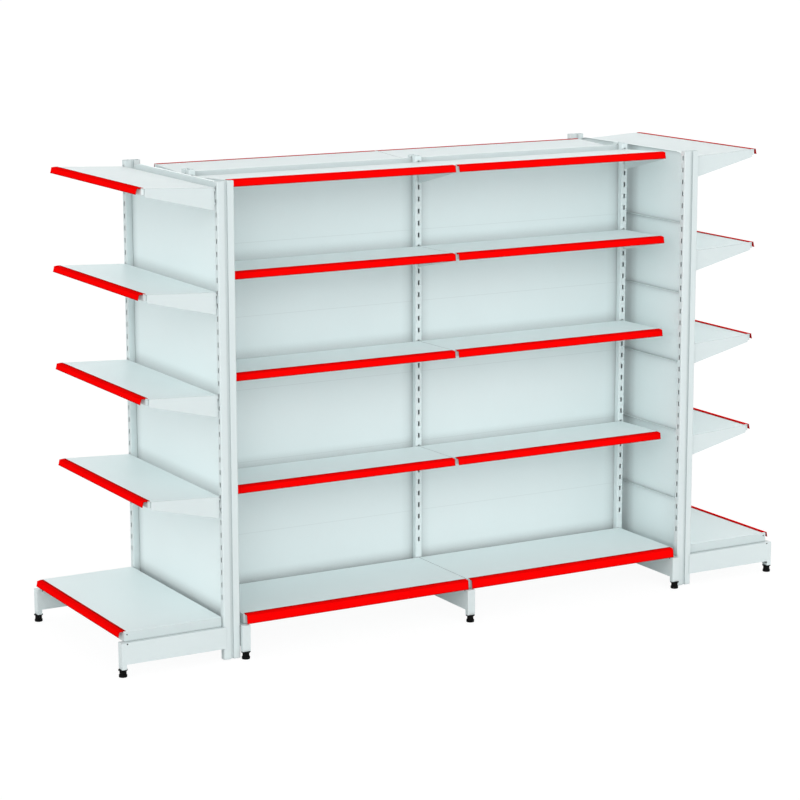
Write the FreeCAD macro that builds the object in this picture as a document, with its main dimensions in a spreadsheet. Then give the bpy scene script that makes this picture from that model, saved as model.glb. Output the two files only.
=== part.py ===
import FreeCAD, Part
import math
import os
import re

import Sketcher

# Double-sided shop gondola: two bays with shelves front and rear, and a one-sided bay across each end.
# Millimetres, +Z up, X along the run, front towards -Y, origin on the floor under the middle upright.

# Dimensions: name, value or the formula that ties it to others, meaning
DIMENSIONS = [
    ("bay_pitch", 1028, "centre to centre of the main uprights"),
    ("end_pitch", 872, "centre to centre of the two uprights of an end bay"),
    ("end_gap", 4, "main run to an end bay, filled by a joining plate"),
    ("upright_width", 30, "upright section across the run of its bay"),
    ("upright_depth", 70, "upright section from slotted face to slotted face"),
    ("upright_wall", 2, "upright wall thickness"),
    ("upright_length", 1880, "length of an upright"),
    ("upright_lift", 5, "lower end of an upright above the floor"),
    ("upright_bevel", 3, "outer corner bevel of an upright"),
    ("groove_width", 13, "width of the panel groove in an upright's side"),
    ("groove_deep", 7, "depth of the panel groove"),
    ("slot_width", "=2 * (bracket_gap + bracket_thick + bracket_side)", "width of a hook slot"),
    ("slot_height", 20, "height of a hook slot"),
    ("slot_pitch", 50, "pitch of the hook slots"),
    ("slot_first", 256, "centre of the lowest slot above the floor"),
    ("slot_margin", 25, "least height of upright above the centre of its highest slot"),
    ("slot_count", "=floor((upright_lift + upright_length - slot_first - slot_margin) / slot_pitch) + 1",
     "slots in one column"),
    ("panel_tall", 300, "height of one back panel"),
    ("panel_base", 76, "lower edge of the panel stack above the floor"),
    ("panel_count", "=floor((upright_lift + upright_length - panel_base) / panel_tall)",
     "panels in a stack"),
    ("panel_sheet", 1, "panel sheet thickness"),
    ("panel_play", 0.5, "gap between a panel and the groove around it"),
    ("panel_round", 80, "top corner radius of an end bay's highest panel"),
    ("tie_tall", 36, "height of a tie rail"),
    ("tie_deep", 40, "depth of a tie rail"),
    ("tie_sheet", 2, "tie rail sheet thickness"),
    ("joiner_tall", 28, "height of a joining plate"),
    ("joiner_wide", 50, "width of a joining plate"),
    ("tray_gap", 1.2, "tray side to the upright's centre line"),
    ("tray_back", 2, "tray back edge to the upright's face"),
    ("tray_deep", 294, "depth of an upper tray of the main run"),
    ("end_tray_deep", 301, "depth of an upper tray of an end bay"),
    ("tray_fold", 25, "height of an upper tray's skirt"),
    ("tray_sheet", 1.2, "tray sheet thickness"),
    ("tray_rise", 4, "tray back edge above the centre of its bracket's upper slot"),
    ("tilt_steep", 2.8, "upward tilt towards the front of a top tray or an end bay's tray, degrees"),
    ("tilt_flat", 1.1, "the same for the other upper trays, degrees"),
    ("base_deep", 404, "depth of a base tray of the main run"),
    ("end_base_deep", 413, "depth of a base tray of an end bay"),
    ("base_fold", 39, "height of a base tray's skirt"),
    ("base_top", 176, "top of a base tray above the floor"),
    ("bracket_thick", 3, "bracket plate thickness"),
    ("bracket_gap", 0.6, "bracket plate to the slot's centre line, so that two share a slot"),
    ("bracket_side", 0.4, "bracket plate to the slot's side"),
    ("bracket_play", 0.4, "bracket plate to the skirt of its tray"),
    ("bracket_stand", 5, "bracket plate to the upright's face, crossed by hook and tab"),
    ("bracket_tall", 87, "bracket lower corner below the tray's back edge, at the upright"),
    ("bracket_nose", 32, "bracket height at its front"),
    ("bracket_short", 5, "bracket front behind the front of a main tray"),
    ("bracket_reach", "=tray_deep - bracket_short", "bracket length along the tray"),
    ("hook_neck", 11, "height of the lower tab at the upright's face"),
    ("hook_reach", 7, "hook and tab length from the upright's face inwards"),
    ("hook_drop", 6, "hook tip below the slot's lower edge"),
    ("hook_play", 0.5, "hook tip to the upright's inner wall"),
    ("rail_lip", 12, "price rail lip lying on the tray"),
    ("rail_wall", 1.6, "price rail wall thickness"),
    ("rail_nose", 16.5, "price rail nose before the tray's front fold"),
    ("rail_heel", 4, "price rail heel against the tray's front fold"),
    ("rail_lean", 4, "how far the face's lower edge stands out from its nose"),
    ("rail_low", 27.5, "price rail face below an upper tray's top, main run"),
    ("end_rail_low", 24, "price rail face below an upper tray's top, end bay"),
    ("rail_clear", 2, "main base price rail above the shoulder of a base leg"),
    ("base_rail_low", "=base_fold - rail_clear", "price rail face below a base tray's top, main run"),
    ("end_base_rail_low", 23, "price rail face below a base tray's top, end bay"),
    ("rail_gap", 8, "main price rail end to the upright's centre line"),
    ("end_rail_gap", 12.5, "end price rail end to the upright's centre line"),
    ("leg_front", 28, "base leg front beyond the front fold of a main base tray"),
    ("leg_reach", "=upright_depth / 2 + tray_back + base_deep + leg_front",
     "base leg front from the upright's centre"),
    ("leg_top", "=base_top - base_fold", "shoulder of a base leg above the floor, where base trays rest"),
    ("leg_bottom", 51, "lower edge of a base leg above the floor"),
    ("leg_sheet", 2, "base leg sheet thickness"),
    ("leg_play", 0.4, "base leg cheek to the upright's side"),
    ("leg_lap", 8, "base leg cheek lap along the upright"),
    ("post_long", 20, "front post of a base leg"),
    ("post_bottom", 37, "lower end of the post above the floor"),
    ("post_floor", 3, "floor plate of the post"),
    ("foot_base", 19, "radius of a foot's base"),
    ("foot_base_tall", 12, "height of a foot's base"),
    ("foot_grip", 17.5, "corner radius of a foot's hexagon"),
    ("foot_brim", 20.5, "radius of a foot's brim"),
    ("foot_brim_tall", 7, "height of a foot's brim"),
    ("foot_gap", 0.2, "foot's brim to the post when screwed home"),
    ("stud_radius", 5, "radius of a foot's stud"),
    ("stud_long", 45, "stud above the brim"),
    ("stud_play", 0.5, "stud to its nut hole"),
]

# Upper shelves from the top: slot of the brackets' upper hooks, counted down from the highest one, and tilt
MAIN_SHELVES = [(0, "tilt_steep"), (7, "tilt_flat"), (15, "tilt_flat"), (24, "tilt_flat")]
END_SHELVES = [(0, "tilt_steep"), (8, "tilt_steep"), (16, "tilt_steep"), (24, "tilt_steep")]

SHEET = "Dimensions"
FOOT_SIDES = 8
GRIP_SIDES = 6
STUD_SIDES = 6
ROUND_STEPS = 5

X_AXIS = FreeCAD.Vector(1, 0, 0)
Z_AXIS = FreeCAD.Vector(0, 0, 1)

doc = FreeCAD.newDocument("Gondola")
sheet = doc.addObject("Spreadsheet::Sheet", SHEET)
for row, (alias, _, meaning) in enumerate(DIMENSIONS, start=1):
    sheet.set(f"A{row}", alias)
    sheet.setAlias(f"B{row}", alias)
    sheet.set(f"C{row}", meaning)
for alias, value, _ in DIMENSIONS:
    sheet.set(alias, str(value))
doc.recompute()

DIM = {alias: float(sheet.get(alias)) for alias, _, _ in DIMENSIONS}


def cell(formula):
    """A formula over the sheet's names, written out with the sheet's own name before each of them."""
    return re.sub(r"[a-z_]+", lambda word: f"{SHEET}.{word[0]}" if word[0] in DIM else word[0], formula)


def place(x=0.0, y=0.0, z=0.0, axis=Z_AXIS, degrees=0.0):
    return FreeCAD.Placement(FreeCAD.Vector(x, y, z), FreeCAD.Rotation(axis, degrees))


def origin_plane(body, role):
    return next(plane for plane in body.Origin.OriginFeatures if plane.Role == role)


def outline(body, name, role, corners, lift="0"):
    """A closed sketch on one of the body's origin planes, each corner held by two sheet formulas."""
    sketch = body.newObject("Sketcher::SketchObject", name)
    sketch.AttachmentSupport = [(origin_plane(body, role), "")]
    sketch.MapMode = "FlatFace"
    sketch.setExpression("AttachmentOffset.Base.z", cell(lift))
    count = len(corners)
    turn = 2 * math.pi / count
    ring = [FreeCAD.Vector(math.cos(turn * i), math.sin(turn * i), 0) for i in range(count)]
    for i in range(count):
        sketch.addGeometry(Part.LineSegment(ring[i], ring[(i + 1) % count]), False)
    for i in range(count):
        sketch.addConstraint(Sketcher.Constraint("Coincident", i, 2, (i + 1) % count, 1))
    for i, formulas in enumerate(corners):
        for kind, start, formula in zip(("DistanceX", "DistanceY"), ring[i], formulas):
            held = sketch.addConstraint(Sketcher.Constraint(kind, -1, 1, i, 1, start))
            sketch.setExpression(f"Constraints[{held}]", cell(formula))
    return sketch


def mirrored(corners, across_x):
    """The corners in reverse order, with the sign of X or of Y turned."""
    if across_x:
        return [(f"-1 * ( {x} )", y) for x, y in reversed(corners)]
    return [(x, f"-1 * ( {y} )") for x, y in reversed(corners)]


def four_ways(quarter):
    """A closed outline from its quarter in +X +Y, listed from the Y axis round to the X axis."""
    right = quarter + mirrored(quarter, across_x=False)
    return right + mirrored(right, across_x=True)


def rectangle(low_x, low_y, high_x, high_y):
    return [(low_x, low_y), (high_x, low_y), (high_x, high_y), (low_x, high_y)]


def feature(body, kind, name, sketch, length, reverse=False, symmetric=False):
    """A Pad or Pocket of one sketch."""
    made = body.newObject(f"PartDesign::{kind}", name)
    made.Profile = sketch
    made.setExpression("Length", cell(length))
    made.Reversed = reverse
    if symmetric:
        made.SideType = "Symmetric"
    return made


def new_body(label):
    body = doc.addObject("PartDesign::Body", label)
    body.Label = label
    return body


def group(label, copies):
    """One sub-part made of separate solids: copies is a list of (master body, placement)."""
    links = []
    for number, (master, where) in enumerate(copies, start=1):
        link = doc.addObject("App::Link", f"{label}_{number}")
        link.LinkedObject = master
        link.LinkPlacement = where
        links.append(link)
    compound = doc.addObject("Part::Compound", label)
    compound.Label = label
    compound.Links = links
    return compound


def make_upright(label):
    """Rolled section with a panel groove in each side and a slot column in each face, lower end at Z 0."""
    body = new_body(label)
    half_w, half_d = "upright_width / 2", "upright_depth / 2"
    neck_w, neck_d = "( upright_width / 2 - groove_deep )", "groove_width / 2"
    corner = [(f"{half_w} - upright_bevel", half_d), (half_w, f"{half_d} - upright_bevel")]
    outer = outline(body, "Section", "XY_Plane", four_ways(corner + [(half_w, neck_d), (neck_w, neck_d)]))
    feature(body, "Pad", "Rolled", outer, "upright_length")

    wall = "upright_wall"
    lobe_w, lobe_d = f"( {half_w} - {wall} )", f"( {half_d} - {wall} )"
    throat_w, throat_d = f"( {neck_w} - {wall} )", f"( {neck_d} + {wall} )"
    hollow = four_ways([(lobe_w, lobe_d), (lobe_w, throat_d), (throat_w, throat_d)])
    inner = outline(body, "Hollow", "XY_Plane", hollow)
    feature(body, "Pocket", "Core", inner, "upright_length", reverse=True)
    doc.recompute()

    low = "slot_first - upright_lift - slot_height / 2"
    high = "slot_first - upright_lift + slot_height / 2"
    mouth = outline(body, "Slot", "XZ_Plane", rectangle("-1 * slot_width / 2", low, "slot_width / 2", high))
    cut = feature(body, "Pocket", "SlotPair", mouth, "upright_depth * 2", symmetric=True)
    doc.recompute()
    column = body.newObject("PartDesign::LinearPattern", "SlotColumn")
    column.Originals = [cut]
    column.Direction = (next(a for a in body.Origin.OriginFeatures if a.Role == "Z_Axis"), [""])
    column.setExpression("Length", cell("slot_pitch * ( slot_count - 1 )"))
    column.setExpression("Occurrences", cell("slot_count"))
    body.Tip = column
    return body


def make_tray(label, pitch, deep, fold, hung):
    """Folded tray, origin at the middle of its back edge. A hung one rests on brackets beside its skirt."""
    body = new_body(label)
    half = f"( {pitch} / 2 - tray_gap )"
    skirt = half
    if hung:
        top = outline(body, "Top", "XY_Plane", rectangle(f"-1 * {half}", f"-1 * {deep}", half, "0"))
        feature(body, "Pad", "Sheet", top, "tray_sheet", reverse=True)
        skirt = f"( {pitch} / 2 - bracket_gap - bracket_thick - bracket_play )"
    wall = outline(body, "Skirt", "XY_Plane", rectangle(f"-1 * {skirt}", f"-1 * {deep}", skirt, "0"))
    feature(body, "Pad", "Folds", wall, fold, reverse=True)
    inside = f"( {skirt} - tray_sheet )"
    room = rectangle(f"-1 * {inside}", f"tray_sheet - {deep}", inside, "-1 * tray_sheet")
    under = outline(body, "Underside", "XY_Plane", room, lift="-1 * tray_sheet")
    feature(body, "Pocket", "Hollow", under, fold)
    return body


def make_rail(label, pitch, gap, deep, low):
    """Price rail: lip on the tray, heel against the tray's front fold, and a leaning face before it."""
    body = new_body(label)
    front = f"-1 * {deep}"
    nose = f"{front} - rail_nose"
    foot = f"{nose} - rail_lean"
    profile = [
        (f"{front} + rail_lip", "0"),
        (f"{front} + rail_lip", "rail_wall"),
        (nose, "rail_wall"),
        (foot, f"-1 * {low}"),
        (f"{foot} + rail_wall", f"-1 * {low}"),
        (f"{nose} + rail_wall", "0"),
        (f"{front} - rail_wall", "0"),
        (f"{front} - rail_wall", "-1 * rail_heel"),
        (front, "-1 * rail_heel"),
        (front, "0"),
    ]
    section = outline(body, "Profile", "YZ_Plane", profile)
    feature(body, "Pad", "Extrusion", section, f"{pitch} - 2 * {gap}", symmetric=True)
    return body


def make_bracket(label, hand, tilt):
    """Tapered plate, hook and tab. Origin at the centre of its upper slot; hand is its tray's side."""
    body = new_body(label)
    face = "-1 * upright_depth / 2"
    back, inside = f"{face} - tray_back", f"{face} + hook_reach"
    behind, edge = f"{face} + upright_wall + hook_play", f"{face} - bracket_stand"

    def on_tray(along, below):
        outward = f"{back} - {along} * cos({tilt}) - {below} * sin({tilt})"
        upward = f"tray_rise + {along} * sin({tilt}) - {below} * cos({tilt})"
        return outward, upward

    sill, tab_sill = "-1 * slot_height / 2", "-1 * slot_height / 2 - slot_pitch"
    hook = [(inside, f"{sill} - hook_drop"), (behind, sill), (edge, sill)]
    tab = [(edge, f"{tab_sill} + hook_neck"), (inside, tab_sill), (edge, tab_sill)]
    under_tray = f"tray_rise + ( bracket_stand - tray_back ) * tan({tilt}) - tray_sheet / cos({tilt})"
    top_back, low_back = (edge, under_tray), (edge, "tray_rise - bracket_tall")
    low_front, top_front = on_tray("bracket_reach", "bracket_nose"), on_tray("bracket_reach", "tray_sheet")
    plate = [top_back] + hook + tab + [low_back, low_front, top_front]
    blank = outline(body, "Blank", "YZ_Plane", plate, lift=f"{hand} * bracket_gap")
    feature(body, "Pad", "Plate", blank, "bracket_thick", reverse=hand < 0)
    return body


def panel_outline(half, inset, rounded):
    """An end panel's outline moved in by inset, its top corners square or rounded."""
    side, low, high = f"( {half} - {inset} )", inset, f"( panel_tall - {inset} )"
    if not rounded:
        return rectangle(f"-1 * {side}", low, side, high)
    radius = f"( panel_round - {inset} )"
    steps = [90.0 * step / ROUND_STEPS for step in range(ROUND_STEPS + 1)]
    corner = [(f"{side} - {radius} * (1 - cos({a}))", f"{high} - {radius} * (1 - sin({a}))") for a in steps]
    right = [(side, low)] + corner
    return right + mirrored(right, across_x=True)


def make_panel(label, pitch, rounded):
    """Flanged sheet, face towards -Y. Origin at the middle of its lower edge, between the grooves."""
    body = new_body(label)
    half = f"( {pitch} / 2 - upright_width / 2 + groove_deep - panel_play )"
    face = "( groove_width / 2 - panel_play )"
    blank = outline(body, "Blank", "XZ_Plane", panel_outline(half, "0", rounded))
    feature(body, "Pad", "Flanges", blank, f"{face} * 2", symmetric=True)
    room = panel_outline(half, "panel_sheet", rounded)
    hollow = outline(body, "Inside", "XZ_Plane", room, lift=f"{face} - panel_sheet")
    feature(body, "Pocket", "Hollow", hollow, f"{face} * 2")
    return body


def make_double_panel(label, pitch):
    """Two skins joined along the seams, open ends in the grooves. Origin as for a flanged sheet."""
    body = new_body(label)
    length = f"{pitch} - upright_width + 2 * ( groove_deep - panel_play )"
    face = "( groove_width / 2 - panel_play )"
    height = "panel_tall"
    outer = outline(body, "Skins", "YZ_Plane", rectangle(f"-1 * {face}", "0", face, height))
    feature(body, "Pad", "Panel", outer, length, symmetric=True)
    inside = f"( {face} - panel_sheet )"
    room = rectangle(f"-1 * {inside}", "panel_sheet", inside, f"{height} - panel_sheet")
    inner = outline(body, "Inside", "YZ_Plane", room)
    feature(body, "Pocket", "Hollow", inner, length, symmetric=True)
    return body


def make_tie(label, pitch):
    """Inverted channel between two uprights, origin at the middle of its upper face."""
    body = new_body(label)
    half, inside = "tie_deep / 2", "( tie_deep / 2 - tie_sheet )"
    channel = [
        (f"-1 * {half}", "-1 * tie_tall"),
        (f"-1 * {half}", "0"),
        (half, "0"),
        (half, "-1 * tie_tall"),
        (inside, "-1 * tie_tall"),
        (inside, "-1 * tie_sheet"),
        (f"-1 * {inside}", "-1 * tie_sheet"),
        (f"-1 * {inside}", "-1 * tie_tall"),
    ]
    section = outline(body, "Channel", "YZ_Plane", channel)
    feature(body, "Pad", "Length", section, f"{pitch} - upright_width", symmetric=True)
    return body


def make_joiner(label):
    """Plate bolted between the main run and an end bay's tie rail, origin at its middle."""
    body = new_body(label)
    wide, tall = "joiner_wide / 2", "joiner_tall / 2"
    blank = outline(body, "Blank", "YZ_Plane", rectangle(f"-1 * {wide}", f"-1 * {tall}", wide, tall))
    feature(body, "Pad", "Plate", blank, "end_gap", symmetric=True)
    return body


def make_leg(label):
    """Folded leg: shoulder for the base trays, cheeks lapping the upright, post. Origin on the floor."""
    body = new_body(label)
    cheek = "( upright_width / 2 + leg_play )"
    face, lap = "-1 * upright_depth / 2", "leg_lap - upright_depth / 2"
    front, rear = "-1 * leg_reach", "post_long - leg_reach"
    side = [
        (lap, "leg_bottom"),
        (lap, "leg_top"),
        (front, "leg_top"),
        (front, "post_bottom"),
        (rear, "post_bottom"),
        (rear, "leg_bottom"),
    ]
    blank = outline(body, "Side", "YZ_Plane", side)
    feature(body, "Pad", "Blank", blank, f"2 * ( {cheek} + leg_sheet )", symmetric=True)
    room = [
        (lap, "leg_bottom"),
        (lap, "leg_top"),
        (face, "leg_top"),
        (face, "leg_top - leg_sheet"),
        (f"{front} + leg_sheet", "leg_top - leg_sheet"),
        (f"{front} + leg_sheet", "post_bottom + post_floor"),
        (rear, "post_bottom + post_floor"),
        (rear, "leg_bottom"),
    ]
    inside = outline(body, "Inside", "YZ_Plane", room)
    feature(body, "Pocket", "Fold", inside, f"2 * {cheek}", symmetric=True)
    bolt, centre = "( stud_radius + stud_play )", "( post_long / 2 - leg_reach )"
    square = rectangle(f"-1 * {bolt}", f"{centre} - {bolt}", bolt, f"{centre} + {bolt}")
    hole = outline(body, "NutHole", "XY_Plane", square, lift="post_bottom")
    feature(body, "Pocket", "NutOpening", hole, "post_floor", reverse=True)
    return body


def prism(name, sides, radius, height, base):
    """Regular prism standing on its own height above the floor."""
    made = doc.addObject("Part::Prism", name)
    made.Polygon = sides
    made.setExpression("Circumradius", cell(radius))
    made.setExpression("Height", cell(height))
    made.setExpression("Placement.Base.z", cell(base))
    return made


def make_foot(label):
    """Levelling foot: base, hexagon for a spanner, brim under the post, stud. Origin on the floor."""
    brim_top = "post_bottom - foot_gap"
    brim_low = f"{brim_top} - foot_brim_tall"
    stages = [
        prism(f"{label}_base", FOOT_SIDES, "foot_base", "foot_base_tall", "0"),
        prism(f"{label}_grip", GRIP_SIDES, "foot_grip", f"{brim_low} - foot_base_tall", "foot_base_tall"),
        prism(f"{label}_brim", FOOT_SIDES, "foot_brim", "foot_brim_tall", brim_low),
        prism(f"{label}_stud", STUD_SIDES, "stud_radius", "stud_long", brim_top),
    ]
    foot = doc.addObject("Part::MultiFuse", label)
    foot.Label = label
    foot.Shapes = stages
    return foot


# Where the columns of shelves stand: name, middle of the bay and turn about Z, pitch, upper shelves
RUN_END = DIM["bay_pitch"] + DIM["upright_width"] / 2
END_X = RUN_END + DIM["end_gap"] + DIM["upright_depth"] / 2
HALF_BAY = DIM["bay_pitch"] / 2
HALF_END = DIM["end_pitch"] / 2
COLUMNS = [
    ("front_left", place(-HALF_BAY, 0, 0), "bay_pitch", MAIN_SHELVES),
    ("front_right", place(HALF_BAY, 0, 0), "bay_pitch", MAIN_SHELVES),
    ("rear_left", place(-HALF_BAY, 0, 0, degrees=180), "bay_pitch", MAIN_SHELVES),
    ("rear_right", place(HALF_BAY, 0, 0, degrees=180), "bay_pitch", MAIN_SHELVES),
    ("left_end", place(-END_X, 0, 0, degrees=-90), "end_pitch", END_SHELVES),
    ("right_end", place(END_X, 0, 0, degrees=90), "end_pitch", END_SHELVES),
]

# Where the uprights stand: name, place on the floor, turn about Z of each leg on it
UPRIGHTS = [
    ("left_main", place(-DIM["bay_pitch"], 0, 0), {"front": 0, "rear": 180}),
    ("middle_main", place(0, 0, 0), {"front": 0, "rear": 180}),
    ("right_main", place(DIM["bay_pitch"], 0, 0), {"front": 0, "rear": 180}),
    ("left_end_front", place(-END_X, -HALF_END, 0, degrees=-90), {"": 0}),
    ("left_end_rear", place(-END_X, HALF_END, 0, degrees=-90), {"": 0}),
    ("right_end_front", place(END_X, -HALF_END, 0, degrees=90), {"": 0}),
    ("right_end_rear", place(END_X, HALF_END, 0, degrees=90), {"": 0}),
]

SHELF_BACK = -DIM["upright_depth"] / 2 - DIM["tray_back"]


def slot_height_above_floor(slot):
    """Centre of a slot that is counted down from the highest one."""
    return DIM["slot_first"] + (DIM["slot_count"] - 1 - slot) * DIM["slot_pitch"]


def shelf_place(column, slot, tilt):
    """Frame of an upper tray: its back edge above the slot that its brackets hang in, tilted."""
    back_top = slot_height_above_floor(slot) + DIM["tray_rise"]
    return column * place(0, SHELF_BACK, back_top, X_AXIS, -DIM[tilt])


def base_place(column):
    return column * place(0, SHELF_BACK, DIM["base_top"])


# Depths of the upper and the base tray
tray_depths = {"bay_pitch": ("tray_deep", "base_deep"), "end_pitch": ("end_tray_deep", "end_base_deep")}
rail_masters = {
    "bay_pitch": (
        make_rail("main_rail_master", "bay_pitch", "rail_gap", "tray_deep", "rail_low"),
        make_rail("main_base_rail_master", "bay_pitch", "rail_gap", "base_deep", "base_rail_low"),
    ),
    "end_pitch": (
        make_rail("end_rail_master", "end_pitch", "end_rail_gap", "end_tray_deep", "end_rail_low"),
        make_rail("end_base_rail_master", "end_pitch", "end_rail_gap", "end_base_deep", "end_base_rail_low"),
    ),
}
bracket_masters = {
    tilt: {hand: make_bracket(f"{tilt}_bracket_master_{hand + 1}", hand, tilt) for hand in (1, -1)}
    for tilt in ("tilt_steep", "tilt_flat")
}
double_panel = make_double_panel("main_panel_master", "bay_pitch")
end_panel = make_panel("end_panel_master", "end_pitch", rounded=False)
end_top_panel = make_panel("end_top_panel_master", "end_pitch", rounded=True)
panel_count = int(DIM["panel_count"])
panel_stacks = {
    "bay_pitch": [double_panel] * panel_count,
    "end_pitch": [end_panel] * (panel_count - 1) + [end_top_panel],
}
tie_masters = {
    "bay_pitch": make_tie("main_tie_master", "bay_pitch"),
    "end_pitch": make_tie("end_tie_master", "end_pitch"),
}
leg_master = make_leg("leg_master")

subparts = []
rails = {"front": [], "rear": [], "end": []}
brackets = {"front": [], "rear": [], "end": []}
panels = {"main": [], "end": []}
legs = {"main": [], "end": []}
ties = []

for name, where, leg_turns in UPRIGHTS:
    upright = make_upright(f"{name}_upright")
    upright.Placement = where * place(z=DIM["upright_lift"])
    subparts.append(upright)
    for side, turn in leg_turns.items():
        leg_where = where * place(degrees=turn)
        legs["end" if "end" in name else "main"].append((leg_master, leg_where))
        foot = make_foot("_".join(filter(None, (name, side, "foot"))))
        foot.Placement = leg_where * place(y=DIM["post_long"] / 2 - DIM["leg_reach"])
        subparts.append(foot)

for name, column, pitch, shelves in COLUMNS:
    side = "end" if "end" in name else name.split("_")[0]
    upper_rail, base_rail = rail_masters[pitch]
    upper_deep, base_deep = tray_depths[pitch]
    for level, (slot, tilt) in enumerate(shelves, start=1):
        tray = make_tray(f"{name}_shelf_{level}", pitch, upper_deep, "tray_fold", hung=True)
        tray.Placement = shelf_place(column, slot, tilt)
        subparts.append(tray)
        rails[side].append((upper_rail, tray.Placement))
        hook_height = slot_height_above_floor(slot)
        for hand, master in bracket_masters[tilt].items():
            brackets[side].append((master, column * place(-hand * DIM[pitch] / 2, 0, hook_height)))
    base = make_tray(f"{name}_base_shelf", pitch, base_deep, "base_fold", hung=False)
    base.Placement = base_place(column)
    subparts.append(base)
    rails[side].append((base_rail, base.Placement))

flush = (DIM["upright_depth"] - DIM["tie_deep"]) / 2
for name, column, pitch, _ in COLUMNS:
    if name.startswith("rear"):
        continue
    kind = "end" if "end" in name else "main"
    inset = flush if kind == "end" else 0.0
    ties.append((tie_masters[pitch], column * place(0, inset, DIM["panel_base"])))
    for level, master in enumerate(panel_stacks[pitch]):
        lower_edge = place(0, 0, DIM["panel_base"] + level * DIM["panel_tall"])
        panels[kind].append((master, column * lower_edge))

for side in ("front", "rear", "end"):
    subparts.append(group(f"{side}_price_rails", rails[side]))
    subparts.append(group(f"{side}_shelf_brackets", brackets[side]))
for kind in ("main", "end"):
    subparts.append(group(f"{kind}_back_panels", panels[kind]))
    subparts.append(group(f"{kind}_base_legs", legs[kind]))
subparts.append(group("tie_rails", ties))
joiner_height = DIM["panel_base"] - DIM["tie_tall"] / 2
joiner_x = RUN_END + DIM["end_gap"] / 2
joiner_master = make_joiner("joiner_master")
joiners = [(joiner_master, place(side * joiner_x, 0, joiner_height)) for side in (-1, 1)]
subparts.append(group("joining_plates", joiners))

doc.recompute()

for item in doc.Objects:
    if "Invalid" in item.State or "Error" in item.State:
        raise RuntimeError(f"{item.Label} did not recompute: {item.State}")
for part in subparts:
    if part.Shape.isNull() or not part.Shape.isValid():
        raise RuntimeError(f"{part.Label} has no valid shape")

os.makedirs("parts", exist_ok=True)
for part in subparts:
    part.Shape.exportStep(os.path.join("parts", f"{part.Label}.step"))
print(f"{len(subparts)} sub-parts, {sum(len(part.Shape.Solids) for part in subparts)} solids")
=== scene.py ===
import math

import bmesh
import bpy
from mathutils import Matrix, Vector


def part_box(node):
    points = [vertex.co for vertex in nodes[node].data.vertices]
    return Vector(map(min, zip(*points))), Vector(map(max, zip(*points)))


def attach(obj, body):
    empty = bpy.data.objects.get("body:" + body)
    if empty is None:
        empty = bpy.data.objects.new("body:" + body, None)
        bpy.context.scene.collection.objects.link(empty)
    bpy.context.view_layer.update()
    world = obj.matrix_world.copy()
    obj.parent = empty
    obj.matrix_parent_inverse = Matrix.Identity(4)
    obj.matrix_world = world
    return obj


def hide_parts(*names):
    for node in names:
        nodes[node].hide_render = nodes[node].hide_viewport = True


# Double-sided shop gondola: powder-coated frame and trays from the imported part, with price rails and
# levelling feet modelled here in their place, and post shoes and hole plugs added. Lengths are millimetres,
# which MM turns into Blender's metres; the floor and the camera are in metres.

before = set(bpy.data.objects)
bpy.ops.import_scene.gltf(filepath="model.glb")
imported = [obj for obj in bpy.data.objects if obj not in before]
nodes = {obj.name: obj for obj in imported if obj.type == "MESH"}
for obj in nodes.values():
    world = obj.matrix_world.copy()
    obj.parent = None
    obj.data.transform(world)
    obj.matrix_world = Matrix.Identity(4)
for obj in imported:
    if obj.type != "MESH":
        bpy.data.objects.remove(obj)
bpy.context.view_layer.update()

MM = 0.001

# Sizes repeated from the part
BAY_PITCH = 1028.0
END_PITCH = 872.0
END_X = 1082.0
UPRIGHT_HALF_DEPTH = 35.0
TRAY_BACK = 2.0
TRAY_GAP = 1.2
TRAY_DEEP = {"main": 294.0, "end": 301.0}
TRAY_TILTS = {"main": [2.8, 1.1, 1.1, 1.1], "end": [2.8, 2.8, 2.8, 2.8]}
TRAY_TOPS = {"main": [1860.0, 1510.0, 1110.0, 660.0], "end": [1860.0, 1460.0, 1060.0, 660.0]}
BASE_DEEP = {"main": 404.0, "end": 413.0}
BASE_TOP = 176.0
RAIL_GAP = {"main": 8.0, "end": 12.5}
RAIL_LIP = 12.0
RAIL_WALL = 1.6
RAIL_NOSE = 16.5
RAIL_HEEL = 4.0
RAIL_LEAN = 4.0
RAIL_LOW = {"main": 27.5, "end": 24.0}
BASE_RAIL_LOW = {"main": 37.0, "end": 23.0}
PANEL_BASE = 76.0
PANEL_TALL = 300.0
LEG_CHEEK = 17.4
POST_LONG = 20.0
POST_BOTTOM = 37.0

# Columns of shelves: middle of the bay, turn about Z in degrees, kind, node that holds its price rails
COLUMNS = {
    "front_left": ((-BAY_PITCH / 2, 0.0), 0, "main", "front_price_rails"),
    "front_right": ((BAY_PITCH / 2, 0.0), 0, "main", "front_price_rails"),
    "rear_left": ((-BAY_PITCH / 2, 0.0), 180, "main", "rear_price_rails"),
    "rear_right": ((BAY_PITCH / 2, 0.0), 180, "main", "rear_price_rails"),
    "left_end": ((-END_X, 0.0), -90, "end", "end_price_rails"),
    "right_end": ((END_X, 0.0), 90, "end", "end_price_rails"),
}


# Materials

# Sockets of a Mix node that is set to colour
MIX_FACTOR, MIX_FIRST, MIX_SECOND, MIX_RESULT = 0, 6, 7, 2

# The middle half of a noise's range holds nearly all of it
NOISE_LOW, NOISE_HIGH = 0.25, 0.75

CORNER_SAMPLES = 8
SEAM_HALF = 1.1
SEAM_SHADE_SHARE = 0.92


def rgba(colour):
    return (*colour, 1.0)


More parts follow.
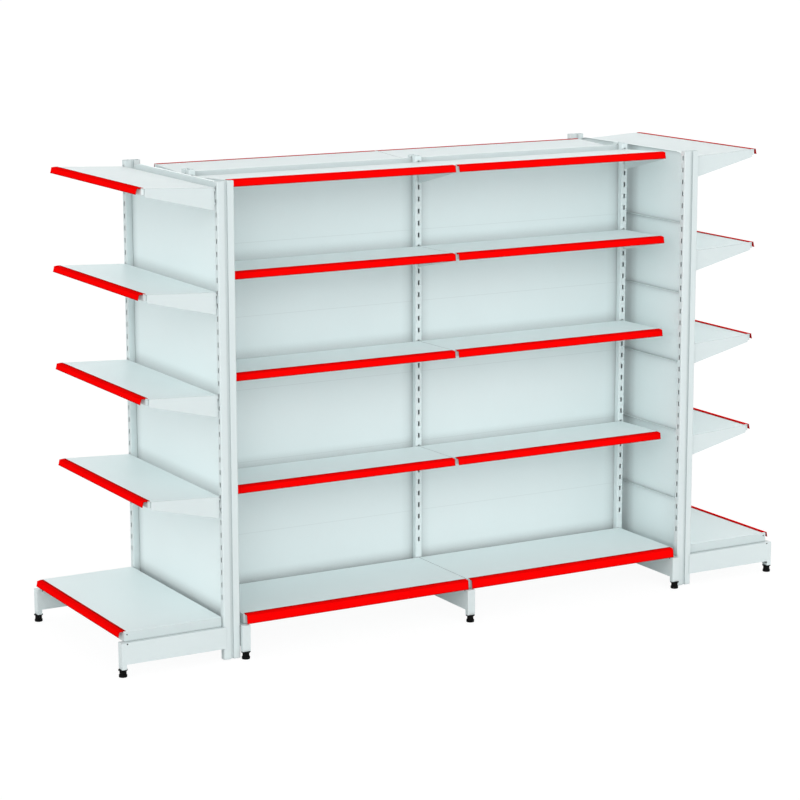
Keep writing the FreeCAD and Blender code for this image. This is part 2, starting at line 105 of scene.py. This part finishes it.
class Shader:
    """A node tree with a Principled surface, and short ways to add nodes to it."""

    def __init__(self, name):
        self.material = bpy.data.materials.new(name)
        self.material.use_nodes = True
        self.tree = self.material.node_tree
        self.surface = self.tree.nodes["Principled BSDF"]
        coordinates = self.add("ShaderNodeTexCoord")
        self.place = coordinates.outputs["Object"]
        self.facing = coordinates.outputs["Normal"]

    def add(self, kind, **settings):
        node = self.tree.nodes.new(kind)
        for name, value in settings.items():
            setattr(node, name, value)
        return node

    def put(self, value, socket):
        """Link another node's output to a socket, or set a constant on it."""
        if isinstance(value, bpy.types.NodeSocket):
            self.tree.links.new(value, socket)
        else:
            socket.default_value = value

    def stretched(self, scale):
        """Object coordinates scaled apart along the three axes."""
        node = self.add("ShaderNodeMapping")
        self.put(scale, node.inputs["Scale"])
        self.put(self.place, node.inputs["Vector"])
        return node.outputs["Vector"]

    def noise(self, scale, detail=2.0, roughness=0.5, vector=None):
        node = self.add("ShaderNodeTexNoise")
        self.put(scale, node.inputs["Scale"])
        self.put(detail, node.inputs["Detail"])
        self.put(roughness, node.inputs["Roughness"])
        self.put(vector or self.place, node.inputs["Vector"])
        return node.outputs["Fac"]

    def spread(self, value, low, high):
        """A value from the middle of a noise's range moved to another range."""
        node = self.add("ShaderNodeMapRange")
        self.put(NOISE_LOW, node.inputs["From Min"])
        self.put(NOISE_HIGH, node.inputs["From Max"])
        self.put(low, node.inputs["To Min"])
        self.put(high, node.inputs["To Max"])
        self.put(value, node.inputs["Value"])
        return node.outputs["Result"]

    def math(self, operation, *values):
        node = self.add("ShaderNodeMath", operation=operation)
        for value, socket in zip(values, node.inputs):
            self.put(value, socket)
        return node.outputs[0]

    def height_of(self, vector):
        node = self.add("ShaderNodeSeparateXYZ")
        self.put(vector, node.inputs[0])
        return node.outputs["Z"]

    def mix(self, factor, first, second):
        node = self.add("ShaderNodeMix", data_type="RGBA")
        self.put(factor, node.inputs[MIX_FACTOR])
        self.put(first, node.inputs[MIX_FIRST])
        self.put(second, node.inputs[MIX_SECOND])
        return node.outputs[MIX_RESULT]

    def drift(self, scale, detail, first, second):
        """A colour that wanders slowly between two tones."""
        share = self.spread(self.noise(scale, detail=detail), low=0.0, high=1.0)
        return self.mix(share, rgba(first), rgba(second))

    def bump(self, height, strength, distance, normal=None):
        node = self.add("ShaderNodeBump")
        self.put(strength, node.inputs["Strength"])
        self.put(distance * MM, node.inputs["Distance"])
        self.put(height, node.inputs["Height"])
        if normal is not None:
            self.put(normal, node.inputs["Normal"])
        return node.outputs["Normal"]

    def finish(self, colour, roughness, normal, **constants):
        self.put(colour, self.surface.inputs["Base Color"])
        self.put(roughness, self.surface.inputs["Roughness"])
        self.put(normal, self.surface.inputs["Normal"])
        for name, value in constants.items():
            self.put(value, self.surface.inputs[name])
        return self.material


def seam_mask(shader):
    """1 in a hairline at each height where one back panel stands on another, and 0 elsewhere; the coat
    paints shade into this hairline.
    """
    above_base = shader.math("SUBTRACT", shader.height_of(shader.place), PANEL_BASE * MM)
    from_seam = shader.math("WRAP", above_base, PANEL_TALL / 2 * MM, -PANEL_TALL / 2 * MM)
    return shader.math("LESS_THAN", shader.math("ABSOLUTE", from_seam), SEAM_HALF * MM)


def facing_shade_mask(shader):
    """1 on level faces and 0 on upright ones; it sets where a coat paints its darker upright tone as shade.
    """
    return shader.spread(shader.math("ABSOLUTE", shader.height_of(shader.facing)), low=0.0, high=1.0)


def powder_coat(name, first, second, corner_shade_reach, corner_shade_share, shine, seams=False, upright=None):
    """Satin off-white powder coat: fine orange peel, slow drifts in tone and gloss, and painted shade that
    darkens inner corners.

    Seams are hairlines of painted shade between stacked panels. Upright is a darker tone for upright faces,
    painted shade for how light falls on them, if they have their own.
    """
    shader = Shader(name)
    clean = shader.drift(3.0, 3.0, first, second)
    if seams:
        # Painted shade: a darker hairline at each seam between stacked panels
        painted_seam_shade = rgba([SEAM_SHADE_SHARE * value for value in first])
        clean = shader.mix(seam_mask(shader), clean, painted_seam_shade)
    # Painted shade: upright faces such as skirts and folds take a darker tone than level tops, for how light
    # falls on them
    if upright:
        clean = shader.mix(facing_shade_mask(shader), rgba(upright), clean)
    # Painted shade: ambient occlusion darkens the colour in inner corners, creases and gaps between parts
    corners = shader.add("ShaderNodeAmbientOcclusion", samples=CORNER_SAMPLES)
    shader.put(corner_shade_reach * MM, corners.inputs["Distance"])
    shader.put(clean, corners.inputs["Color"])
    colour = shader.mix(corner_shade_share, clean, corners.outputs["Color"])
    gloss = shader.spread(shader.noise(45.0, detail=3.0), low=0.36, high=0.50)
    peel = shader.bump(shader.noise(650.0, detail=1.0), strength=0.10, distance=0.4)
    waves = shader.bump(shader.noise(6.0, detail=1.0), strength=0.06, distance=4.0, normal=peel)
    return shader.finish(colour, gloss, waves, **{"Specular IOR Level": shine})


def red_plastic(name, first, second):
    """Extruded plastic with a fine drawn texture and slow drifts in tone and gloss."""
    shader = Shader(name)
    colour = shader.drift(9.0, 2.0, first, second)
    gloss = shader.spread(shader.noise(60.0, detail=2.0), low=0.34, high=0.46)
    drawn = shader.bump(shader.noise(900.0, detail=2.0), strength=0.06, distance=0.2)
    return shader.finish(colour, gloss, drawn, **{"Specular IOR Level": 0.0})


def black_plastic():
    """Matte moulded plastic with a fine spark-eroded grain."""
    shader = Shader("black_plastic")
    colour = shader.drift(120.0, 3.0, (0.003, 0.003, 0.003), (0.008, 0.008, 0.008))
    gloss = shader.spread(shader.noise(300.0, detail=2.0), low=0.42, high=0.62)
    grain = shader.bump(shader.noise(1400.0, detail=2.0), strength=0.25, distance=0.2)
    return shader.finish(colour, gloss, grain, **{"Specular IOR Level": 0.05})


def zinc():
    """Bright zinc plating with a mottled passivated tone."""
    shader = Shader("zinc_plate")
    mottle = shader.noise(260.0, detail=4.0, roughness=0.6)
    tone = shader.spread(mottle, low=0.0, high=1.0)
    colour = shader.mix(tone, rgba((0.50, 0.51, 0.52)), rgba((0.66, 0.66, 0.63)))
    gloss = shader.spread(shader.noise(500.0, detail=2.0), low=0.24, high=0.40)
    lines = shader.noise(1.0, vector=shader.stretched((400.0, 400.0, 4000.0)))
    brushed = shader.bump(lines, strength=0.08, distance=0.1)
    return shader.finish(colour, gloss, brushed, Metallic=1.0)


# The five coats are one off-white powder coat; their tones differ as painted light and shade, set lighter or
# darker per part for how light falls on it
PANEL_WHITE = powder_coat(
    "panel_powder_coat",
    first=(0.776, 0.866, 0.872),
    second=(0.796, 0.884, 0.890),
    corner_shade_reach=55.0,
    corner_shade_share=0.65,
    shine=0.35,
    seams=True,
)
END_PANEL_WHITE = powder_coat(
    "end_panel_powder_coat",
    first=(0.828, 0.925, 0.930),
    second=(0.848, 0.943, 0.948),
    corner_shade_reach=55.0,
    corner_shade_share=0.65,
    shine=0.35,
)
TRAY_WHITE = powder_coat(
    "tray_powder_coat",
    first=(0.838, 0.932, 0.937),
    second=(0.858, 0.950, 0.955),
    corner_shade_reach=6.0,
    corner_shade_share=0.85,
    shine=0.02,
    # Painted shade: darker tone for the trays' upright faces
    upright=(0.640, 0.722, 0.727),
)
TOP_WHITE = powder_coat(
    "top_powder_coat",
    first=(0.780, 0.864, 0.869),
    second=(0.800, 0.882, 0.887),
    corner_shade_reach=6.0,
    corner_shade_share=0.85,
    shine=0.02,
)
FRAME_WHITE = powder_coat(
    "frame_powder_coat",
    first=(0.690, 0.769, 0.774),
    second=(0.710, 0.787, 0.792),
    corner_shade_reach=20.0,
    corner_shade_share=0.3,
    shine=0.35,
)
RED = red_plastic("red_plastic", (0.96, 0.0010, 0.0010), (1.00, 0.0016, 0.0016))
# Painted shade: a darker copy of the red plastic for the rail's lip, channel and edges, where shade falls
SHADED_RED = red_plastic("shaded_red_plastic", (0.50, 0.0040, 0.0030), (0.56, 0.0060, 0.0045))
BLACK = black_plastic()
ZINC = zinc()


# Mesh helpers

def make_piece(mesh, name, body, materials, replaced=None):
    """Turn bmesh faces into an object that rides on a body, takes its materials and may replace a node."""
    bmesh.ops.recalc_face_normals(mesh, faces=mesh.faces)
    data = bpy.data.meshes.new(name)
    for material in materials:
        data.materials.append(material)
    piece = bpy.data.objects.new(name, data)
    bpy.context.scene.collection.objects.link(piece)
    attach(piece, body)
    mesh.to_mesh(data)
    mesh.free()
    if replaced is not None:
        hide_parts(replaced)


def circle(radius, sides, height):
    """Points round a circle about Z."""
    angles = [2 * math.pi * i / sides for i in range(sides)]
    return [Vector((radius * math.cos(a), radius * math.sin(a), height)) for a in angles]


def join_rings(mesh, rings, material=0):
    """Side faces between each ring of vertices and the next."""
    for low, high in zip(rings, rings[1:]):
        for i in range(len(low)):
            j = (i + 1) % len(low)
            mesh.faces.new([low[i], low[j], high[j], high[i]]).material_index = material


def cap_rings(mesh, rings, material=0):
    """Faces that close the first and the last ring."""
    mesh.faces.new(list(reversed(rings[0]))).material_index = material
    mesh.faces.new(rings[-1]).material_index = material


def middle_of(node):
    """Middle of a node's box on the floor, in millimetres."""
    low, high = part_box(node)
    return Vector(((low.x + high.x) / 2, (low.y + high.y) / 2, 0.0)) / MM


# Price rails: lip on the tray, heel on its fold, face with a ticket channel, and a strip in the channel

RAIL_DROP = 2.8
RAIL_CLEAR = 0.05
LIP_TIP = 0.8
HEEL_EASE = 0.6
NOSE_EASE = 0.8
NOSE_DOWN = 0.7
FOOT_EASE = 0.5
FOOT_TIP = 1.1
FACE_THICK = 1.55
TOP_LIP = 1.6
LOW_LIP = 2.6
LIP_EASE = 0.3
CHANNEL_DEEP = 0.9
STRIP_PLAY = 0.4
STRIP_EDGE_DEEP = 0.5
STRIP_DEEP = 0.2
STRIP_SHORT = 3.0

# Sides of the rail's section, from the tray's front edge down to the top lip, that are the plain red; the
# rest of the rail is a darker red, painted shade along its lip, channel and edges
PLAIN_RED_SIDES = slice(3, 6)


def extrude_profile(mesh, profile, half_length, where):
    """A closed prism along X over a profile of (y, z) points, put in place by a matrix. Gives its sides."""
    rings = []
    for x in (-half_length, half_length):
        rings.append([mesh.verts.new(where @ Vector((x, y, z)) * MM) for y, z in profile])
    near, far = rings
    sides = []
    for i in range(len(profile)):
        j = (i + 1) % len(profile)
        sides.append(mesh.faces.new([near[i], near[j], far[j], far[i]]))
    cap_rings(mesh, rings)
    return sides


def rail_places(column):
    """Each price rail of a column: its tray's matrix, the tray's depth, the face's drop."""
    (x, y), turn, kind, _ = COLUMNS[column]
    bay = Matrix.Translation((x, y, 0.0)) @ Matrix.Rotation(math.radians(turn), 4, "Z")
    back = -UPRIGHT_HALF_DEPTH - TRAY_BACK
    places = []
    for top, degrees in zip(TRAY_TOPS[kind], TRAY_TILTS[kind]):
        tilt = Matrix.Rotation(-math.radians(degrees), 4, "X")
        tray = bay @ Matrix.Translation((0.0, back, top)) @ tilt
        places.append((tray, TRAY_DEEP[kind], RAIL_LOW[kind]))
    base = bay @ Matrix.Translation((0.0, back, BASE_TOP))
    places.append((base, BASE_DEEP[kind], BASE_RAIL_LOW[kind]))
    return places


def rail_profiles(deep, low):
    """The rail's section and its strip's section, as (y, z) points."""
    front = -deep
    nose = Vector((front - RAIL_NOSE, RAIL_WALL - RAIL_DROP))
    foot = Vector((nose.x - RAIL_LEAN, -low))
    along = (foot - nose).normalized()
    out = Vector((along.y, -along.x))
    length = (foot - nose).length

    def on_face(down, sunk):
        point = nose + along * down - out * sunk
        return point.x, point.y

    channel_end = length - LOW_LIP
    rail = [
        (front + RAIL_LIP, RAIL_CLEAR),
        (front + RAIL_LIP, LIP_TIP),
        (front + RAIL_LIP - LIP_TIP, RAIL_WALL),
        (front, RAIL_WALL),
        (nose.x + NOSE_EASE, nose.y + NOSE_EASE * RAIL_DROP / RAIL_NOSE),
        on_face(NOSE_DOWN, 0.0),
        on_face(TOP_LIP - LIP_EASE, 0.0),
        on_face(TOP_LIP, LIP_EASE),
        on_face(TOP_LIP, CHANNEL_DEEP),
        on_face(channel_end, CHANNEL_DEEP),
        on_face(channel_end, LIP_EASE),
        on_face(channel_end + LIP_EASE, 0.0),
        on_face(length - FOOT_EASE, 0.0),
        on_face(length, FOOT_EASE),
        on_face(length, FOOT_TIP),
        on_face(length - FOOT_EASE, FACE_THICK),
        (nose.x + RAIL_WALL, -RAIL_DROP),
        (front - RAIL_WALL, 0.0),
        (front - RAIL_WALL, HEEL_EASE - RAIL_HEEL),
        (front - RAIL_WALL + HEEL_EASE, -RAIL_HEEL),
        (front - RAIL_CLEAR, -RAIL_HEEL),
        (front - RAIL_CLEAR, RAIL_CLEAR),
    ]
    strip_top, strip_end = TOP_LIP + STRIP_PLAY, channel_end - STRIP_PLAY
    strip = [
        on_face(strip_top, CHANNEL_DEEP),
        on_face(strip_top, STRIP_EDGE_DEEP),
        on_face(strip_top + LIP_EASE, STRIP_DEEP),
        on_face(strip_end - LIP_EASE, STRIP_DEEP),
        on_face(strip_end, STRIP_EDGE_DEEP),
        on_face(strip_end, CHANNEL_DEEP),
    ]
    return rail, strip


def make_rails(node):
    rails = bmesh.new()
    strips = bmesh.new()
    for column, (_, _, kind, holder) in COLUMNS.items():
        if holder != node:
            continue
        pitch = BAY_PITCH if kind == "main" else END_PITCH
        half = pitch / 2 - RAIL_GAP[kind]
        for where, deep, low in rail_places(column):
            rail, strip = rail_profiles(deep, low)
            for side in extrude_profile(rails, rail, half, where)[PLAIN_RED_SIDES]:
                side.material_index = 1
            extrude_profile(strips, strip, half - STRIP_SHORT, where)
    channels_name = node.replace("rails", "rail_channels")
    make_piece(rails, channels_name, "frame", [SHADED_RED, RED], replaced=node)
    make_piece(strips, node.replace("rails", "strips"), "frame", [RED])


for node in ("front_price_rails", "rear_price_rails", "end_price_rails"):
    make_rails(node)


# Levelling feet: turned outlines as (radius, height) from the bottom up, and the stud's thread

FOOT_BASE = [(14.0, 0.0), (15.8, 0.6), (16.4, 2.0), (16.4, 9.0), (15.6, 10.6), (13.0, 11.4)]
FOOT_HEXAGON = [(13.6, 11.0), (15.0, 12.0), (15.0, 25.6), (14.0, 26.6)]
FOOT_BRIM = [(14.0, 26.3), (17.8, 26.8), (18.6, 27.8), (18.6, 29.4), (18.0, 30.2), (5.5, 30.6)]
STUD_CORE = [(4.3, 30.2), (4.3, 80.8), (3.6, 81.8)]
ROUND_SIDES = 40
HEXAGON_SIDES = 6
STUD_SIDES = 20
THREAD_BOTTOM = 31.0
THREAD_TOP = 80.0
THREAD_RADIUS = 5.0
THREAD_PITCH = 1.5
THREAD_DEEP = 0.6

# One turn's section: share of the thread's depth cut away, share of the pitch climbed
THREAD_SECTION = [(1.0, 0.0), (0.0, 0.35), (0.0, 0.5), (1.0, 0.85)]

PLASTIC, METAL = 0, 1


def lathe(mesh, profile, centre, sides, material):
    """A turned solid, closed at both ends."""
    rings = []
    for radius, height in profile:
        rings.append([mesh.verts.new((point + centre) * MM) for point in circle(radius, sides, height)])
    join_rings(mesh, rings, material)
    cap_rings(mesh, rings, material)


def thread(mesh, centre):
    """A screw thread round the stud that climbs one pitch a turn."""
    turns = int((THREAD_TOP - THREAD_BOTTOM) / THREAD_PITCH)
    rows = []
    for step in range(turns * STUD_SIDES + 1):
        angle = 2 * math.pi * step / STUD_SIDES
        height = THREAD_BOTTOM + THREAD_PITCH * step / STUD_SIDES
        spoke = Vector((math.cos(angle), math.sin(angle), 0.0))
        row = []
        for cut, climb in THREAD_SECTION:
            lift = Vector((0.0, 0.0, height + climb * THREAD_PITCH))
            row.append(mesh.verts.new((spoke * (THREAD_RADIUS - cut * THREAD_DEEP) + lift + centre) * MM))
        rows.append(row)
    for low, high in zip(rows, rows[1:]):
        for i in range(len(THREAD_SECTION) - 1):
            face = mesh.faces.new([low[i], high[i], high[i + 1], low[i + 1]])
            face.material_index = METAL


def make_foot(node):
    centre = middle_of(node)
    mesh = bmesh.new()
    lathe(mesh, FOOT_BASE, centre, ROUND_SIDES, PLASTIC)
    lathe(mesh, FOOT_HEXAGON, centre, HEXAGON_SIDES, PLASTIC)
    lathe(mesh, FOOT_BRIM, centre, ROUND_SIDES, PLASTIC)
    lathe(mesh, STUD_CORE, centre, STUD_SIDES, METAL)
    thread(mesh, centre)
    name = node.replace("_foot", "_leveller")
    make_piece(mesh, name, f"{node}_body", [BLACK, ZINC], replaced=node)


FEET = [node for node in sorted(nodes) if node.endswith("_foot")]
for node in FEET:
    make_foot(node)


# Shoes that close the legs' posts round the feet's studs

SHOE_TALL = 6.0
SHOE_EASE = 0.8
SHOE_HOLE = 6.2
SHOE_INSET = 0.1
SHOE_STEPS = 6


def shoe(mesh, centre, half_x, half_y):
    """A block with eased lower edges and a round hole for the stud."""
    low = POST_BOTTOM - SHOE_TALL
    corners = [(-half_x, -half_y), (half_x, -half_y), (half_x, half_y), (-half_x, half_y)]
    corners = [Vector(corner) for corner in corners]
    edge = []
    for start, end in zip(corners, corners[1:] + corners[:1]):
        edge += [start.lerp(end, i / SHOE_STEPS) for i in range(SHOE_STEPS)]
    shrink = Vector((1.0 - SHOE_EASE / half_x, 1.0 - SHOE_EASE / half_y))
    hole = [point.normalized() * SHOE_HOLE for point in edge]
    loops = [
        (hole, low),
        ([point * shrink for point in edge], low),
        (edge, low + SHOE_EASE),
        (edge, POST_BOTTOM),
        (hole, POST_BOTTOM),
    ]
    rings = []
    for loop, height in loops:
        points = [Vector((point.x, point.y, height)) + centre for point in loop]
        rings.append([mesh.verts.new(point * MM) for point in points])
    join_rings(mesh, rings + rings[:1])


def make_shoes():
    mesh = bmesh.new()
    along, across = POST_LONG / 2 - SHOE_INSET, LEG_CHEEK - SHOE_INSET
    for node in FEET:
        if "_end_" in node:
            shoe(mesh, middle_of(node), along, across)
        else:
            shoe(mesh, middle_of(node), across, along)
    make_piece(mesh, "post_shoes", "frame", [FRAME_WHITE])


make_shoes()


# Hole plugs in the legs' cheeks and in the end base trays' sides

PLUG_SIDES = 20

# A plug's dome: share of its radius, height above the sheet
PLUG_DOME = [(1.0, -0.3), (1.0, 0.15), (0.85, 0.4), (0.45, 0.55)]

LEG_PLUG_OUT = 445.0
LEG_PLUG_HEIGHT = 132.0
LEG_PLUG_RADIUS = 3.0
TRAY_PLUG_OUT = 438.5
TRAY_PLUG_HEIGHT = 165.0
TRAY_PLUG_RADIUS = 2.6


def plug(mesh, centre, normal, radius):
    """A low dome pressed into a hole in a sheet."""
    turn = Vector((0, 0, 1)).rotation_difference(Vector(normal)).to_matrix()
    rings = []
    for share, proud in PLUG_DOME:
        points = circle(radius * share, PLUG_SIDES, proud)
        rings.append([mesh.verts.new((Vector(centre) + turn @ point) * MM) for point in points])
    join_rings(mesh, rings)
    cap_rings(mesh, rings)


def make_plugs():
    mesh = bmesh.new()
    for side in (-1, 1):
        for hand in (-1, 1):
            for x in (-BAY_PITCH, 0.0, BAY_PITCH):
                centre = (x + hand * LEG_CHEEK, side * LEG_PLUG_OUT, LEG_PLUG_HEIGHT)
                plug(mesh, centre, (hand, 0, 0), LEG_PLUG_RADIUS)
            for y in (-END_PITCH / 2, END_PITCH / 2):
                centre = (side * (END_X + LEG_PLUG_OUT), y + hand * LEG_CHEEK, LEG_PLUG_HEIGHT)
                plug(mesh, centre, (0, hand, 0), LEG_PLUG_RADIUS)
            tray_side = hand * (END_PITCH / 2 - TRAY_GAP)
            centre = (side * (END_X + TRAY_PLUG_OUT), tray_side, TRAY_PLUG_HEIGHT)
            plug(mesh, centre, (0, hand, 0), TRAY_PLUG_RADIUS)
    make_piece(mesh, "hole_plugs", "frame", [BLACK])


make_plugs()


# CAD nodes that stay: paint, and edges eased as bent and cut sheet is

PANEL_EDGE = 0.7
UPRIGHT_EDGE = 0.6
BRACKET_EDGE = 0.7
OTHER_EDGE = 0.5
EDGE_SEGMENTS = 2
EDGE_ANGLE = 40
WELD_REACH = 0.01


def edge_size(name):
    if name.endswith("back_panels"):
        return PANEL_EDGE
    if name.endswith("upright"):
        return UPRIGHT_EDGE
    if "shelf_brackets" in name:
        return BRACKET_EDGE
    return OTHER_EDGE


def ease_edges(node, width):
    weld = node.modifiers.new("weld", "WELD")
    weld.merge_threshold = WELD_REACH * MM
    bevel = node.modifiers.new("eased_edges", "BEVEL")
    bevel.width = width * MM
    bevel.segments = EDGE_SEGMENTS
    bevel.limit_method = "ANGLE"
    bevel.angle_limit = math.radians(EDGE_ANGLE)


# Each part takes the coat whose tone paints the light or shade that part gets
def coat(name):
    if name == "main_back_panels":
        return PANEL_WHITE
    if name == "end_back_panels":
        return END_PANEL_WHITE
    if name.endswith(("_shelf_1", "_main_upright")):
        return TOP_WHITE
    if name.endswith("_shelf") or "_shelf_" in name and not name.endswith("brackets"):
        return TRAY_WHITE
    return FRAME_WHITE


for name, node in nodes.items():
    if node.hide_render:
        continue
    node.data.materials.clear()
    node.data.materials.append(coat(name))
    ease_edges(node, edge_size(name))


# Studio: pale floor, white surround, broad soft lamps

FLOOR_REACH = 60.0
FLOOR_COLOUR = (0.90, 0.91, 0.91)
FLOOR_ROUGHNESS = 0.9
FLOOR_WHITE = 1.06
FLOOR_WHITE_SHARE = 0.88
DOME_STRENGTH = 0.49
BACKGROUND_STRENGTH = 1.0


def floor():
    """A pale plane that the camera sees as nearly white, with the object's shadow still on it."""
    r = FLOOR_REACH
    mesh = bpy.data.meshes.new("floor")
    mesh.from_pydata([(-r, -r, 0), (r, -r, 0), (r, r, 0), (-r, r, 0)], [], [(0, 1, 2, 3)])
    plane = bpy.data.objects.new("floor", mesh)
    bpy.context.scene.collection.objects.link(plane)
    material = bpy.data.materials.new("floor")
    material.use_nodes = True
    tree = material.node_tree
    surface = tree.nodes["Principled BSDF"]
    surface.inputs["Base Color"].default_value = rgba(FLOOR_COLOUR)
    surface.inputs["Roughness"].default_value = FLOOR_ROUGHNESS
    surface.inputs["Specular IOR Level"].default_value = 0.0
    white = tree.nodes.new("ShaderNodeEmission")
    white.inputs["Strength"].default_value = FLOOR_WHITE
    path = tree.nodes.new("ShaderNodeLightPath")
    seen = tree.nodes.new("ShaderNodeMath")
    seen.operation = "MULTIPLY"
    seen.inputs[1].default_value = FLOOR_WHITE_SHARE
    mix = tree.nodes.new("ShaderNodeMixShader")
    tree.links.new(path.outputs["Is Camera Ray"], seen.inputs[0])
    tree.links.new(seen.outputs[0], mix.inputs[0])
    tree.links.new(surface.outputs[0], mix.inputs[1])
    tree.links.new(white.outputs[0], mix.inputs[2])
    tree.links.new(mix.outputs[0], tree.nodes["Material Output"].inputs["Surface"])
    mesh.materials.append(material)


def surround():
    """A dim dome that camera, glossy and transmission rays see as white."""
    world = bpy.data.worlds.new("studio")
    bpy.context.scene.world = world
    world.use_nodes = True
    tree = world.node_tree
    background = tree.nodes["Background"]
    background.inputs["Color"].default_value = (1.0, 1.0, 1.0, 1.0)
    path = tree.nodes.new("ShaderNodeLightPath")
    camera_or_glossy = tree.nodes.new("ShaderNodeMath")
    camera_or_glossy.operation = "MAXIMUM"
    seen = tree.nodes.new("ShaderNodeMath")
    seen.operation = "MAXIMUM"
    strength = tree.nodes.new("ShaderNodeMapRange")
    strength.inputs["To Min"].default_value = DOME_STRENGTH
    strength.inputs["To Max"].default_value = BACKGROUND_STRENGTH
    tree.links.new(path.outputs["Is Camera Ray"], camera_or_glossy.inputs[0])
    tree.links.new(path.outputs["Is Glossy Ray"], camera_or_glossy.inputs[1])
    tree.links.new(camera_or_glossy.outputs[0], seen.inputs[0])
    tree.links.new(path.outputs["Is Transmission Ray"], seen.inputs[1])
    tree.links.new(seen.outputs[0], strength.inputs["Value"])
    tree.links.new(strength.outputs["Result"], background.inputs["Strength"])


def soft_sun(name, towards, spread_degrees, strength):
    """Even light from a wide patch of sky; towards is the direction from the object to the patch."""
    data = bpy.data.lights.new(name, "SUN")
    data.angle = math.radians(spread_degrees)
    data.energy = strength
    lamp = bpy.data.objects.new(name, data)
    bpy.context.scene.collection.objects.link(lamp)
    lamp.rotation_euler = (-Vector(towards)).to_track_quat("-Z", "Y").to_euler()


floor()
surround()
soft_sun("front_left", (-0.42, -0.88, 0.20), 40.0, 0.68)
soft_sun("front_right", (0.55, -0.80, 0.20), 50.0, 0.32)
soft_sun("front_high", (-0.20, -0.80, 0.56), 50.0, 0.56)
soft_sun("side", (-0.93, -0.20, 0.30), 60.0, 0.90)
soft_sun("rear", (0.60, 0.78, 0.18), 60.0, 1.00)


# Camera fitted to the photograph: place in metres, angles in radians

CAMERA_PLACE = (-5.23897, -9.13840, 2.98580)
CAMERA_YAW = -0.5136
CAMERA_PITCH = -0.1915
CAMERA_ROLL = -0.0021

camera_data = bpy.data.cameras.new("camera")
camera_data.lens = 114.79
camera_data.sensor_width = 36.0
camera_data.shift_x = 0.00344
camera_data.shift_y = -0.02670
camera_data.clip_end = 200.0
camera = bpy.data.objects.new("camera", camera_data)
bpy.context.scene.collection.objects.link(camera)
heading = Matrix.Rotation(CAMERA_YAW, 4, "Z")
tipped = Matrix.Rotation(math.pi / 2 + CAMERA_PITCH, 4, "X")
rolled = Matrix.Rotation(CAMERA_ROLL, 4, "Z")
camera.matrix_world = Matrix.Translation(CAMERA_PLACE) @ heading @ tipped @ rolled
bpy.context.scene.camera = camera

bpy.context.scene.view_settings.view_transform = "Standard"
